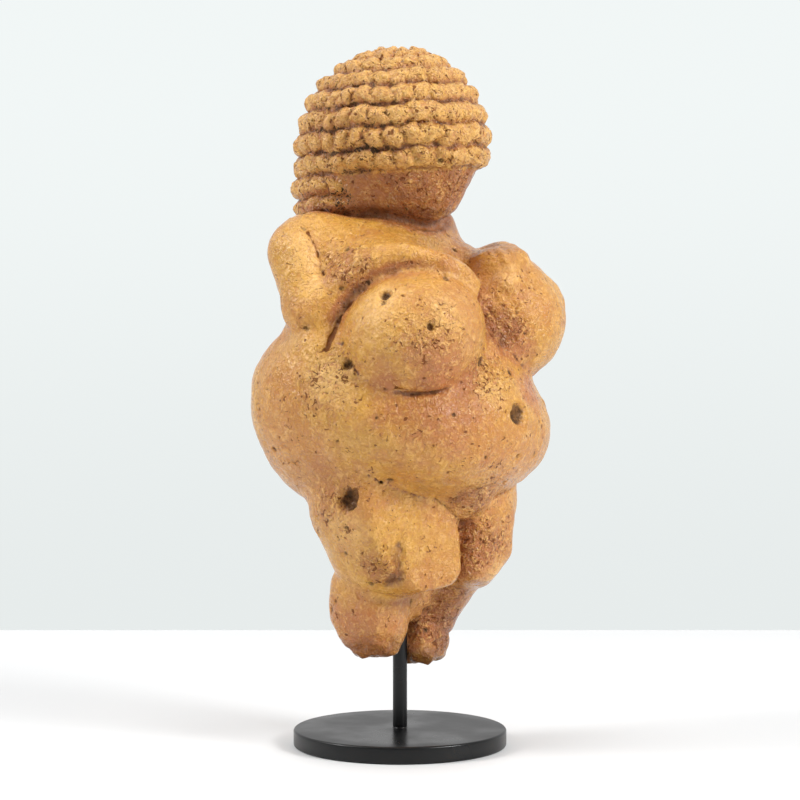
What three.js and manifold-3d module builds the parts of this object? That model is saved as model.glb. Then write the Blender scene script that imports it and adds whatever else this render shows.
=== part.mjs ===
// A cast figurine of the palaeolithic venus kind, held over a round steel foot by a steel rod.
// Millimetres, +Z up. The rod's axis is the Z axis, the ground is z = 0, and the figure faces -Y.
import * as THREE from "three";
import Module from "manifold-3d";

// The figure
const figureHeight = 111; // crown to the end of the longer calf
const figureLift = 14.5; // the ground to the end of the longer calf

// The rod
const rodDiameter = 2.6;
const boreDepth = 24; // how far the hole for the rod goes up from the figure's lower end
const boreClearance = 0.3; // all round the rod, in the figure
const rodSides = 24;

// The foot
const footDiameter = 38.3;
const footHeight = 3;
const footEdge = 0.4; // radius of the turned edge, above and below
const socketDepth = 2; // how far the rod goes down into the foot
const socketClearance = 0.1; // all round the rod, in the foot
const footSides = 36;

// How finely the figure is faceted
const bodySides = 48;
const calfSides = 16;
const armSides = 8;
const ringStep = 2.5; // between level rings of the body, in hundredths of its height
const rayStep = 0.8; // between tries along a ray, in hundredths of its height

// Each form of the figure is given in hundredths of its height: x to its own left, y to its back, z up from its
// lower end. A form is a function of a point p that is negative inside, zero on the surface, positive outside.
const degrees = Math.PI / 180;

function smooth(low, high, value) {
  const t = Math.min(Math.max((value - low) / (high - low), 0), 1);
  return t * t * (3 - 2 * t);
}

// The point in the own frame of a form that leans its top forwards and splays its top outwards.
function turned([px, py, pz], at, lean, splay) {
  let x = px - at[0];
  let y = py - at[1];
  let z = pz - at[2];
  if (lean) {
    const c = Math.cos(lean * degrees);
    const s = Math.sin(lean * degrees);
    [y, z] = [c * y + s * z, c * z - s * y];
  }
  if (splay) {
    const c = Math.cos(splay * degrees);
    const s = Math.sin(splay * degrees);
    [x, z] = [c * x - s * z, c * z + s * x];
  }
  return [x, y, z];
}

// The other way round: a way in the own frame of a form, as it lies in the figure's frame.
function unturned([x, y, z], lean, splay) {
  const [leanCos, leanSin] = [Math.cos(lean * degrees), Math.sin(lean * degrees)];
  const [splayCos, splaySin] = [Math.cos(splay * degrees), Math.sin(splay * degrees)];
  const up = splayCos * z - splaySin * x;
  return [splayCos * x + splaySin * z, leanCos * y - leanSin * up, leanCos * up + leanSin * y];
}

// An egg, with half its width, depth and height in size; above 2, boxy squares it up.
function egg(p, at, size, { lean = 0, splay = 0, boxy = 2 } = {}) {
  const w = turned(p, at, lean, splay).map((v, i) => Math.abs(v) / size[i] + 1e-6);
  const a = (w[0] ** boxy + w[1] ** boxy + w[2] ** boxy) ** (1 / boxy);
  const g = Math.hypot(...w.map((v, i) => (v / a) ** (boxy - 1) / size[i]));
  return (a - 1) / g;
}

// A round limb from a to b, with its radius at each end.
function limb([x, y, z], a, b, radiusA, radiusB) {
  const [dx, dy, dz] = [b[0] - a[0], b[1] - a[1], b[2] - a[2]];
  const along = ((x - a[0]) * dx + (y - a[1]) * dy + (z - a[2]) * dz) / (dx * dx + dy * dy + dz * dz);
  const t = Math.min(Math.max(along, 0), 1);
  const gap = Math.hypot(x - a[0] - t * dx, y - a[1] - t * dy, z - a[2] - t * dz);
  return gap - (radiusA + (radiusB - radiusA) * t);
}

// Two forms run together over a fillet, or one cut out of the other with its edge eased, or a form broken off
// along a flat that is given by the way it faces and how far out it lies.
function blend(a, b, fillet) {
  const h = Math.max(fillet - Math.abs(a - b), 0) / fillet;
  return Math.min(a, b) - (h * h * fillet) / 4;
}

function chipped(p, form, facing, out, ease = 0.8) {
  const flat = out - facing.reduce((sum, f, i) => sum + f * p[i], 0);
  return carve(form, flat, ease);
}

function carve(a, b, fillet) {
  const h = Math.max(fillet - Math.abs(a + b), 0) / fillet;
  return Math.max(a, -b) + (h * h * fillet) / 4;
}

// Points on the great circle from a to b round a centre, as the forearm lies over the breast.
function arcPoints(centre, a, b, count) {
  const from = new THREE.Vector3(...a).sub(new THREE.Vector3(...centre));
  const to = new THREE.Vector3(...b).sub(new THREE.Vector3(...centre));
  const angle = from.angleTo(to);
  const points = [];
  for (let i = 0; i < count; i++) {
    const t = i / (count - 1);
    const way = from.clone().normalize().multiplyScalar(Math.sin((1 - t) * angle));
    way.addScaledVector(to.clone().normalize(), Math.sin(t * angle));
    way.setLength(from.length() + (to.length() - from.length()) * t);
    points.push(way.toArray().map((v, k) => v + centre[k]));
  }
  return points;
}

// The head and its cap of curls, in level rows of knobs under a plain rolled rim. Rows are counted down from the
// crown. The rows below the rim run round the nape only, and leave the face a bare field.
const headCentre = [0.2, 1, 85.6];
const headLean = 0.6; // of the rows, forwards
const headSplay = -5.7; // of the rows: they dip to the figure's right
const capRadius = 14.2;
const rowHeight = 3.53;
const knobWidth = 3;
const knobHeight = 1.5;
const rimRows = 8;
const napeRows = 2;
const napeFrom = 1.45; // angle from the face at which the nape's rows begin, in radians
const napeFull = 1.9;

function knobsIn(row) {
  const middle = Math.min(((row + 0.5) * rowHeight) / capRadius, Math.PI / 2);
  return Math.max(Math.round((2 * Math.PI * capRadius * Math.sin(middle)) / knobWidth), 3);
}

function curls(p) {
  const [x, y, z] = turned(p, headCentre, headLean, headSplay);
  const down = z > 0 ? capRadius * Math.atan2(Math.hypot(x, y), z) : (capRadius * Math.PI) / 2 - z;
  const around = Math.atan2(x, -y);
  const row = Math.floor(down / rowHeight);
  if (row >= rimRows + napeRows) return 0;
  const count = knobsIn(row);
  const place = (around / (2 * Math.PI)) * count + 0.5 * (row % 2);
  const knob = Math.floor(place);
  const v = 2 * (down / rowHeight - row) - 1;
  const u = 2 * (place - knob) - 1;
  const roll = Math.max(1 - v * v, 0) ** 0.7;
  const bead = Math.max(1 - u * u, 0) ** 0.7;
  const mixed = Math.sin(row * 12.99 + (((knob % count) + count) % count) * 78.23) * 43758.55;
  const tall = 0.85 + 0.3 * (mixed - Math.floor(mixed));
  const aside = Math.abs(around);
  const high = roll * (0.3 + 0.7 * bead) * tall;
  if (row >= rimRows) return knobHeight * high * smooth(napeFrom, napeFull, aside);
  if (row < rimRows - 1) return knobHeight * high;
  return knobHeight * Math.max(0.85 * high, roll * 0.42);
}

function head(p) {
  const skull = egg(p, headCentre, [13.7, 14.6, 12.4], { lean: 10 });
  const crown = egg(p, [0.2, -0.8, 88], [8.6, 8.6, 9]);
  const chin = egg(p, [0.1, -1.6, 77.4], [8.4, 9, 7]);
  const neck = egg(p, [0.1, 6.6, 77.5], [11.6, 10.9, 13]);
  return blend(blend(blend(skull, crown, 4), chin, 3), neck, 4) - curls(p);
}

// The trunk: chest and shoulders over a wide belly, hips and seat.
function trunk(m, p) {
  let chest = egg(m, [0, 2.2, 60.5], [16.6, 11.6, 13.6]);
  chest = blend(chest, egg(m, [13.4, 6.2, 65.8], [7, 5.6, 6.2]), 4);
  chest = blend(chest, egg(m, [9.4, -2, 62.8], [8.2, 8.2, 6.2]), 4);
  chest = blend(chest, egg(p, [4.6, 4, 71.2], [10.6, 8.6, 7.2]), 3);
  chest = blend(chest, egg(m, [0, 6.6, 55], [15, 7.6, 15]), 5);
  const belly = egg(m, [0, -5.2, 39.2], [21.8, 18.4, 12.2], { lean: 6, boxy: 2.15 });
  const hips = egg(m, [12.9, 1.6, 43], [12, 15, 12.2], { boxy: 2.15 });
  const waist = egg(m, [0, -6.5, 46], [16, 13.6, 12.3]);
  const seat = egg(m, [9, 5.6, 36.8], [11.8, 11, 11.2]);
  let low = blend(blend(blend(belly, hips, 5), waist, 4), seat, 5);
  low = carve(low, limb(m, [0, 20, 47.5], [0, 14, 27], 1, 2.4), 4);
  low = blend(low, egg(m, [0, -11.8, 28.4], [5, 5.2, 4.4]), 2);
  return blend(chest, low, 4.5);
}

// The thighs and knees, and what joins them: the groove between the legs stays shallow.
function thighs(m, p) {
  const thigh = egg(m, [9.7, -3, 28], [9.2, 11.2, 11], { splay: -5, boxy: 2.3 });
  const shank = egg(m, [8.4, -3.4, 22], [7.4, 8.6, 10], { splay: -4, boxy: 2.8 });
  const knee = egg(m, [6.8, -6.9, 20.7], [5.9, 8.2, 8], { splay: 8, boxy: 4 });
  const whole = blend(blend(thigh, shank, 3), knee, 1.6);
  const leg = chipped(p, chipped(p, whole, [-0.3, -0.95, 0.06], 14.6, 1.2), [0.48, -0.61, -0.63], 2.6);
  const between = egg(m, [0, -1.5, 22.5], [4, 9, 10.5]);
  const below = egg(m, [0, -1.4, 13.4], [6, 4.8, 6.6]);
  return blend(blend(leg, between, 2), below, 2);
}

// The calves, broken off below: the right one is thicker, the left one goes down further to a squared stub.
const calfCentres = { right: [-7.1, 0.6, 10.2], left: [6.6, -1.2, 8.5] };

function rightCalf(p) {
  const calf = egg(p, calfCentres.right, [6.1, 6.4, 8.7], { boxy: 2.35 });
  return chipped(p, chipped(p, calf, [-0.487, 0.623, -0.61], 4.4), [-0.45, -0.5, -0.74], 3.4);
}

function leftCalf(p) {
  const stub = egg(p, [4.5, -1, 4], [3.6, 3.6, 4], { boxy: 3.2 });
  return blend(limb(p, [7.8, -1.4, 13], [6.2, -1, 5], 6.7, 3.7), stub, 1.5);
}

// The breasts, and the thin arms that come down beside them and lie over them, with plain mitten hands. The
// breasts and forearms are higher on the figure's left.
const bustTilt = 0.16;
const armTilt = 0.14;
const breastCentre = [11.4, -11.2, 54];
const elbow = [19.2, 1.2, 54.6];
const wrist = [10, -15.8, 64.4];
const fingertips = [5, -17.6, 61];
const forearmRadius = { elbow: 2.6, wrist: 1.7 };
const handRadius = { wrist: 1.7, fingertips: 1.7 };
const leftPalm = [8.4, -13.6, 65];

function breasts(m) {
  return egg(m, breastCentre, [11.6, 11.2, 10.5], { splay: -4 });
}

function upperArm(m) {
  return limb(m, [17.6, 6, 65], [19.2, 3, 56], 4.3, 3.9);
}

// The body is the figure but for its forearms and calves. It sags a little to its left.
const sag = 0.03;

function sagged([x, y, z]) {
  return [x, y, z + sag * x * smooth(90, 70, z)];
}

function body(point) {
  const p = sagged(point);
  const m = [Math.abs(p[0]), p[1], p[2]];
  let form = blend(trunk(m, p), thighs(m, p), 1.9);
  form = blend(form, upperArm(m), 1 + 3.5 * smooth(4, 9, p[1]));
  form = blend(form, egg(p, leftPalm, [4.4, 4.2, 2.6]), 2.5);
  form = blend(form, breasts([m[0], m[1], m[2] - bustTilt * p[0]]), 1.4 + 3 * smooth(58, 64, p[2]));
  return blend(form, head(p), 1.2);
}

// A ring is the points where rays from one origin, all rising at one angle, leave a form.
function leave(form, origin, direction) {
  const at = (r) => form(origin.map((v, i) => v + r * direction[i]));
  let inner = 0;
  let outer = rayStep;
  while (at(outer) < 0) {
    inner = outer;
    outer += rayStep;
  }
  for (let i = 0; i < 10; i++) {
    const middle = (inner + outer) / 2;
    if (at(middle) < 0) inner = middle;
    else outer = middle;
  }
  return origin.map((v, i) => v + inner * direction[i]);
}

// The angle from straight up is in degrees; lean and splay turn the whole ring, as they do a form.
function ring(form, origin, fromUp, angles, lean = 0, splay = 0) {
  const out = Math.sin(fromUp * degrees);
  const up = Math.cos(fromUp * degrees);
  const points = angles.map((angle) =>
    leave(form, origin, unturned([out * Math.sin(angle), -out * Math.cos(angle), up], lean, splay)),
  );
  return { angles, points };
}

function evenAngles(count) {
  return Array.from({ length: count }, (unused, i) => (2 * Math.PI * i) / count);
}

// Three angles to each knob of a row: its edge and the two sides of its top.
function knobAngles(row) {
  const count = knobsIn(row);
  const shift = row % 2 ? 0.5 : 0;
  return Array.from({ length: 3 * count }, (unused, i) => (2 * Math.PI * (i / 3 + shift)) / count)
    .map((angle) => angle % (2 * Math.PI))
    .sort((a, b) => a - b);
}

function distance(a, b) {
  return Math.hypot(a[0] - b[0], a[1] - b[1], a[2] - b[2]);
}

// Rings from one end to the other as one closed solid. Two rings are zipped together over the shorter diagonal,
// and neither runs ahead of the other, so they may have unlike counts.
function closedSolid(library, rings, top, bottom) {
  const points = [top, ...rings.flatMap((r) => r.points), bottom];
  const faces = [];
  let start = 1;
  rings.forEach((upper, index) => {
    const n = upper.points.length;
    if (index === 0) {
      for (let i = 0; i < n; i++) faces.push([0, start + i, start + ((i + 1) % n)]);
    }
    const next = start + n;
    const lower = rings[index + 1];
    if (!lower) {
      for (let i = 0; i < n; i++) faces.push([points.length - 1, start + ((i + 1) % n), start + i]);
      return;
    }
    const m = lower.points.length;
    const angleOf = (r, i) => r.angles[i % r.angles.length] + (i >= r.angles.length ? 2 * Math.PI : 0);
    const widest = (2.1 * Math.PI) / Math.min(n, m);
    let i = 0;
    let j = 0;
    while (i < n || j < m) {
      const [a, b] = [start + (i % n), next + (j % m)];
      const [nextA, nextB] = [start + ((i + 1) % n), next + ((j + 1) % m)];
      const ahead = angleOf(upper, i + 1) - angleOf(lower, j + 1);
      const shorter = distance(points[nextA], points[b]) - distance(points[a], points[nextB]);
      const upperTurn = j >= m || (i < n && (Math.abs(ahead) > widest ? ahead : shorter) < 0);
      faces.push([a, b, upperTurn ? nextA : nextB]);
      if (upperTurn) i++;
      else j++;
    }
    start = next;
  });
  const unit = figureHeight / 100;
  const placed = points.flatMap(([x, y, z]) => [x * unit, y * unit, z * unit + figureLift]);
  return new library.Manifold(
    new library.Mesh({
      numProp: 3,
      vertProperties: new Float32Array(placed),
      triVerts: new Uint32Array(faces.flat()),
    }),
  );
}

// The body from the crown down: three rings to each row of curls, rings that open out over the shoulders and
// breasts from the middle of the chest, level rings down to the knees, and rings that close between the knees.
function bodySolid(library) {
  const rings = [];
  for (let row = 0; row < rimRows + napeRows; row++) {
    for (let third = row ? 0 : 1; third < 3; third++) {
      const down = (row + third / 3) * rowHeight;
      const fromUp = Math.min(down / capRadius / degrees, 90);
      const below = Math.max(down - (capRadius * Math.PI) / 2, 0);
      const shift = unturned([0, 0, -below], headLean, headSplay);
      const origin = headCentre.map((v, i) => v + shift[i]);
      rings.push(ring(body, origin, fromUp, knobAngles(row), headLean, headSplay));
    }
  }
  const level = evenAngles(bodySides);
  const spine = -4;
  const chest = { z: 57, fromUp: 34, lean: -20, rings: 12 };
  for (let i = 0; i < chest.rings; i++) {
    const t = i / chest.rings;
    const fromUp = chest.fromUp + (90 - chest.fromUp) * t;
    rings.push(ring(body, [0, spine, chest.z], fromUp, level, chest.lean * (1 - t)));
  }
  const knees = { z: 19.5, step: 12 };
  const levels = Math.round((chest.z - knees.z) / ringStep);
  for (let i = 0; i <= levels; i++) {
    rings.push(ring(body, [0, spine, chest.z + ((knees.z - chest.z) * i) / levels], 90, level));
  }
  for (let fromUp = 90 + knees.step; fromUp < 175; fromUp += knees.step) {
    rings.push(ring(body, [0, spine, knees.z], fromUp, level));
  }
  const crown = leave(body, headCentre, unturned([0, 0, 1], headLean, headSplay));
  const crotch = leave(body, [0, spine, knees.z], [0, 0, -1]);
  return closedSolid(library, rings, crown, crotch);
}

// A form all round its own centre, for the calves.
function roundSolid(library, form, centre, sides) {
  const rings = [];
  for (let fromUp = 20; fromUp < 180; fromUp += 20) {
    rings.push(ring(form, centre, fromUp, evenAngles(sides)));
  }
  return closedSolid(library, rings, leave(form, centre, [0, 0, 1]), leave(form, centre, [0, 0, -1]));
}

// The forearm and hand: round sections along their way over the breast, the ends domed.
function forearmSolid(library, side) {
  const tilted = ([x, y, z]) => [side * x, y, z + side * x * (armTilt - sag)];
  const way = [
    ...arcPoints(breastCentre, elbow, wrist, 9),
    ...arcPoints(breastCentre, wrist, fingertips, 4).slice(1),
  ].map(tilted);
  const rings = [];
  const last = way.length - 1;
  const outOf = new THREE.Vector3(...tilted(breastCentre));
  way.forEach((at, i) => {
    const along = new THREE.Vector3(...way[Math.min(i + 1, last)])
      .sub(new THREE.Vector3(...way[Math.max(i - 1, 0)]))
      .normalize();
    const out = new THREE.Vector3(...at).sub(outOf).normalize();
    const across = new THREE.Vector3().crossVectors(out, along);
    const radius =
      i < 9
        ? forearmRadius.elbow + ((forearmRadius.wrist - forearmRadius.elbow) * i) / 8
        : handRadius.wrist + ((handRadius.fingertips - handRadius.wrist) * (i - 8)) / 3;
    const angles = evenAngles(armSides);
    const points = angles.map((angle) =>
      new THREE.Vector3(...at)
        .addScaledVector(out, radius * Math.cos(angle))
        .addScaledVector(across, radius * Math.sin(angle))
        .toArray(),
    );
    rings.push({ angles, points });
  });
  const end = (at, next, radius) => at.map((v, k) => v + (radius * (v - next[k])) / distance(at, next));
  const top = end(way[0], way[1], forearmRadius.elbow / 2);
  const bottom = end(way[last], way[last - 1], handRadius.fingertips);
  return closedSolid(library, rings, top, bottom);
}

function geometryOf(solid) {
  const mesh = solid.getMesh();
  const geometry = new THREE.BufferGeometry();
  geometry.setAttribute("position", new THREE.BufferAttribute(mesh.vertProperties, mesh.numProp));
  geometry.setIndex(new THREE.BufferAttribute(mesh.triVerts, 1));
  geometry.computeVertexNormals();
  return geometry;
}

// The figurine: one cast solid, drilled up between the calves for the rod.
function figurine(library) {
  const solids = [
    bodySolid(library),
    roundSolid(library, (point) => rightCalf(sagged(point)), calfCentres.right, calfSides),
    roundSolid(library, (point) => leftCalf(sagged(point)), calfCentres.left, calfSides),
  ];
  for (const side of [-1, 1]) solids.push(forearmSolid(library, side));
  const solid = library.Manifold.union(solids);
  const boreRadius = rodDiameter / 2 + boreClearance;
  const below = figureLift;
  const bore = library.Manifold.cylinder(boreDepth + below, boreRadius, boreRadius, rodSides);
  const mesh = new THREE.Mesh(
    geometryOf(solid.subtract(bore.translate([0, 0, figureLift - below]))),
    new THREE.MeshStandardMaterial({ color: 0xb98a4e, roughness: 0.5, metalness: 0 }),
  );
  mesh.name = "figurine";
  return mesh;
}

const blackPaint = new THREE.MeshStandardMaterial({ color: 0x1b1b1d, roughness: 0.45, metalness: 0.2 });

// The rod: it stands on the floor of the foot's socket, and the figure rests on its upper end.
function rod() {
  const bottom = footHeight - socketDepth;
  const top = figureLift + boreDepth;
  const shape = new THREE.CylinderGeometry(rodDiameter / 2, rodDiameter / 2, top - bottom, rodSides);
  shape.rotateX(Math.PI / 2);
  const mesh = new THREE.Mesh(shape, blackPaint);
  mesh.name = "rod";
  mesh.position.z = (top + bottom) / 2;
  return mesh;
}

// The foot: a disc turned from plate, its edges eased, with a blind socket for the rod.
function foot() {
  const radius = footDiameter / 2;
  const socketRadius = rodDiameter / 2 + socketClearance;
  const profile = [new THREE.Vector2(0, 0)];
  const easedEdge = (middleHeight, from) => {
    for (let i = 0; i <= 2; i++) {
      const angle = (from + i * 45) * degrees;
      const x = radius - footEdge + footEdge * Math.cos(angle);
      profile.push(new THREE.Vector2(x, middleHeight + footEdge * Math.sin(angle)));
    }
  };
  easedEdge(footEdge, -90);
  easedEdge(footHeight - footEdge, 0);
  profile.push(new THREE.Vector2(socketRadius, footHeight));
  profile.push(new THREE.Vector2(socketRadius, footHeight - socketDepth));
  profile.push(new THREE.Vector2(0, footHeight - socketDepth));
  const shape = new THREE.LatheGeometry(profile, footSides);
  shape.rotateX(Math.PI / 2);
  const mesh = new THREE.Mesh(shape, blackPaint);
  mesh.name = "foot";
  return mesh;
}

const library = await Module();
library.setup();

const part = new THREE.Group();
part.add(figurine(library), rod(), foot());

export default part;
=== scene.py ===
"""A cast figurine of the palaeolithic venus kind on a steel rod and foot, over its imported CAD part."""
import math

import bpy
import numpy as np
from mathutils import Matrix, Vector, noise


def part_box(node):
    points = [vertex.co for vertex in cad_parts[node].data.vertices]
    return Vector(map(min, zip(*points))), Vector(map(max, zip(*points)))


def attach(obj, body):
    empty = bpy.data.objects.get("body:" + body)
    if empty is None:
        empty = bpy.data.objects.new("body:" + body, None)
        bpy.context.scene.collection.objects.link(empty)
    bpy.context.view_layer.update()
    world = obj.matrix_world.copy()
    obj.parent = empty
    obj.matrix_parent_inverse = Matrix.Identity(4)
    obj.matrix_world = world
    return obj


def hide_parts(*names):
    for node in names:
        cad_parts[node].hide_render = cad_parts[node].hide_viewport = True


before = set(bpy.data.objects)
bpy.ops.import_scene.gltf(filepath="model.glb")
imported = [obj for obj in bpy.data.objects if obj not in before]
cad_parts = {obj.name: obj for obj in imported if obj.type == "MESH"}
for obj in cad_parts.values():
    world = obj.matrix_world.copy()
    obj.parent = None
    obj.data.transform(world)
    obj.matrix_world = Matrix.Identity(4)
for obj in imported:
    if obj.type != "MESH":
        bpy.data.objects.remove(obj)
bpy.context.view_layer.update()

# Camera
# It stands level with the figure's waist, off the figure's right front, where the photo was taken from.
# Its lens and its distance give the photo's perspective.
MM = 0.001
CAMERA_AZIMUTH = math.radians(-52)
CAMERA_DISTANCE = 332 * MM
CAMERA_HEIGHT = 62 * MM
CAMERA_LENS = 82.9
CAMERA_SENSOR = 36
CAMERA_NEAREST = 10 * MM

to_camera = Vector((math.sin(CAMERA_AZIMUTH), -math.cos(CAMERA_AZIMUTH), 0))
to_right = Vector((math.cos(CAMERA_AZIMUTH), math.sin(CAMERA_AZIMUTH), 0))
camera_data = bpy.data.cameras.new("camera")
camera_data.sensor_width = CAMERA_SENSOR
camera_data.lens = CAMERA_LENS
camera_data.clip_start = CAMERA_NEAREST
camera = bpy.data.objects.new("camera", camera_data)
camera.location = to_camera * CAMERA_DISTANCE + Vector((0, 0, CAMERA_HEIGHT))
camera.rotation_mode = "QUATERNION"
camera.rotation_quaternion = to_camera.to_track_quat("Z", "Y")
bpy.context.scene.collection.objects.link(camera)
bpy.context.scene.camera = camera

# Foot
# A disc turned from 3 mm steel plate, its edges just broken, sprayed satin black. The paint has drawn up
# into a thin fillet round the rod, which stands in the disc's middle. A little dust lies on it.
FOOT_SIDES = 192
FOOT_EDGE = 0.4 * MM
FOOT_RINGS = (0.8, 0.55, 0.3)
PAINT_FILLET = 0.22 * MM
FILLET_STEPS = 4
DOWN_THE_ROD = 1 * MM
PEEL_HEIGHT = 0.006 * MM
PEEL_SIZE = 0.5 * MM
PATCH_SIZE = 9 * MM
DUST_SIZE = 0.35 * MM
PAINT_BLACK = (0.003, 0.0032, 0.0034, 1)
PAINT_WORN = (0.012, 0.012, 0.0125, 1)
PAINT_IOR = 1.39


def new_piece(name, points, faces, material, node):
    """A smooth mesh of points and faces, riding on the part's one body in place of a CAD node."""
    mesh = bpy.data.meshes.new(name)
    mesh.from_pydata([tuple(p) for p in points], [], [tuple(f) for f in faces])
    mesh.shade_smooth()
    mesh.materials.append(material)
    piece = bpy.data.objects.new(name, mesh)
    bpy.context.scene.collection.objects.link(piece)
    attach(piece, "root")
    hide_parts(node)
    return piece


def turned_solid(profile, sides):
    """Points and faces of a profile of (radius, height) turned round the Z axis, from axis to axis."""
    points = [(0, 0, profile[0][1])]
    for radius, height in profile[1:-1]:
        for k in range(sides):
            turn = 2 * math.pi * k / sides
            points.append((radius * math.cos(turn), radius * math.sin(turn), height))
    points.append((0, 0, profile[-1][1]))
    rings = len(profile) - 2
    faces = []
    for k in range(sides):
        after = (k + 1) % sides
        faces.append((0, 1 + after, 1 + k))
        for ring in range(rings - 1):
            low = 1 + ring * sides
            high = low + sides
            faces.append((low + k, low + after, high + after, high + k))
        top = 1 + (rings - 1) * sides
        faces.append((top + k, top + after, len(points) - 1))
    return points, faces


def rounded(radius, height, edge, start, steps=5):
    """Profile points round an eased edge that reaches out to radius, 90 degrees on from start."""
    for k in range(steps + 1):
        angle = math.radians(start + 90 * k / steps)
        yield radius - edge + edge * math.cos(angle), height + edge * math.sin(angle)


def add_node(tree, kind, inputs=None, **settings):
    """A shader node with its settings made and its inputs given a value or linked to a socket."""
    made = tree.nodes.new(kind)
    for name, value in settings.items():
        setattr(made, name, value)
    for name, value in (inputs or {}).items():
        if isinstance(value, bpy.types.NodeSocket):
            tree.links.new(value, made.inputs[name])
        else:
            made.inputs[name].default_value = value
    return made


def add_math(tree, operation, a, b=0.0, c=0.0):
    return add_node(tree, "ShaderNodeMath", {0: a, 1: b, 2: c}, operation=operation).outputs[0]


def add_vector(tree, operation, inputs, output="Vector"):
    return add_node(tree, "ShaderNodeVectorMath", inputs, operation=operation).outputs[output]


def add_range(tree, value, low, high, to_low=0.0, to_high=1.0):
    """The value taken smoothly from the range low to high to another range."""
    inputs = {"Value": value, "From Min": low, "From Max": high, "To Min": to_low, "To Max": to_high}
    return add_node(tree, "ShaderNodeMapRange", inputs, interpolation_type="SMOOTHSTEP").outputs[0]


def add_mix(tree, share, a, b):
    """Colour a, with colour b laid over it by its share."""
    inputs = {0: share, 6: a, 7: b}
    return add_node(tree, "ShaderNodeMix", inputs, data_type="RGBA").outputs[2]


def add_noise(tree, place, size, detail=3.0, roughness=0.5, warp=0.0):
    """Noise from 0 to 1 whose waves are about size metres long."""
    inputs = {"Vector": place, "Scale": 1 / size, "Detail": detail, "Roughness": roughness}
    inputs["Distortion"] = warp
    return add_node(tree, "ShaderNodeTexNoise", inputs).outputs["Fac"]


def add_bump(tree, height, distance):
    """A normal bent by a height, whose unit stands for a distance."""
    inputs = {"Height": height, "Strength": 1, "Distance": distance}
    return add_node(tree, "ShaderNodeBump", inputs).outputs[0]


def black_paint(name, grain_size, grain_height):
    """Satin black spray paint on steel: a fine orange peel, greyer patches and a little dust."""
    material = bpy.data.materials.new(name)
    material.use_nodes = True
    tree = material.node_tree
    shader = tree.nodes["Principled BSDF"]
    place = add_node(tree, "ShaderNodeTexCoord").outputs["Object"]
    peel = add_noise(tree, place, grain_size, detail=2)
    patches = add_noise(tree, place, PATCH_SIZE, detail=4)
    dust = add_noise(tree, place, DUST_SIZE, detail=1)
    speck = add_range(tree, dust, 0.72, 0.8)
    tone = add_range(tree, patches, 0.35, 0.75, 0, 0.45)
    worn = add_math(tree, "MAXIMUM", tone, speck)
    tree.links.new(add_mix(tree, worn, PAINT_BLACK, PAINT_WORN), shader.inputs["Base Color"])
    tree.links.new(add_range(tree, patches, 0.3, 0.7, 0.26, 0.38), shader.inputs["Roughness"])
    shader.inputs["IOR"].default_value = PAINT_IOR
    tree.links.new(add_bump(tree, peel, grain_height), shader.inputs["Normal"])
    return material


foot_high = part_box("foot")[1]
rod_low, rod_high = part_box("rod")
foot_radius = foot_high[0]
foot_height = foot_high[2]
rod_radius = rod_high[0]
foot_profile = [(0, 0)]
foot_profile += rounded(foot_radius, FOOT_EDGE, FOOT_EDGE, -90)
foot_profile += rounded(foot_radius, foot_height - FOOT_EDGE, FOOT_EDGE, 0)
foot_profile += [(foot_radius * share, foot_height) for share in FOOT_RINGS]
for step in range(FILLET_STEPS + 1):
    rise = math.radians(90 * step / FILLET_STEPS)
    out = rod_radius + PAINT_FILLET * (1 - math.sin(rise))
    foot_profile.append((out, foot_height + PAINT_FILLET * (1 - math.cos(rise))))
foot_profile += [(rod_radius, foot_height - DOWN_THE_ROD), (0, foot_height - DOWN_THE_ROD)]
foot_points, foot_faces = turned_solid(foot_profile, FOOT_SIDES)
foot_paint = black_paint("foot_paint", PEEL_SIZE, PEEL_HEIGHT)
new_piece("foot_disc", foot_points, foot_faces, foot_paint, "foot")

# Rod
# A straight length of 2.6 mm steel rod, its ends cut square and eased, in the same black paint. It stands
# in the foot's socket and goes up between the calves into the figure.
ROD_SIDES = 64
ROD_EDGE = 0.2 * MM
ROD_EDGE_STEPS = 3
ROD_RINGS = 12
ROD_PEEL_HEIGHT = 0.01 * MM
ROD_PEEL_SIZE = 0.3 * MM

rod_profile = [(0, rod_low[2])]
rod_profile += rounded(rod_radius, rod_low[2] + ROD_EDGE, ROD_EDGE, -90, ROD_EDGE_STEPS)
for ring in range(1, ROD_RINGS):
    rod_profile.append((rod_radius, rod_low[2] + (rod_high[2] - rod_low[2]) * ring / ROD_RINGS))
rod_profile += rounded(rod_radius, rod_high[2] - ROD_EDGE, ROD_EDGE, 0, ROD_EDGE_STEPS)
rod_profile.append((0, rod_high[2]))
rod_points, rod_faces = turned_solid(rod_profile, ROD_SIDES)
rod_paint = black_paint("rod_paint", ROD_PEEL_SIZE, ROD_PEEL_HEIGHT)
new_piece("rod_painted", rod_points, rod_faces, rod_paint, "rod")

# Figurine
# One casting in resin filled with stone powder, from a mould of a carved model: a heavy standing woman
# with a cap of curls and broken-off calves. It is toned ochre, with a red-brown wash and painted shade in
# the hollows and creases, painted highlights on its rounded parts and grime in the pits, under a glossy
# varnish.
HEIGHT = 111 * MM
UNIT = HEIGHT / 100
LIFT = 14.5 * MM


# The forms are given in hundredths of the figure's height, x to its own left, y to its back and z up from
# its lower end. Each form gives the distance of p from its surface, negative inside.
def smooth(low, high, value):
    """0 below low and 1 above high, eased between them; with low above high it falls."""
    share = np.clip((value - low) / (high - low), 0, 1)
    return share * share * (3 - 2 * share)


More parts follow.
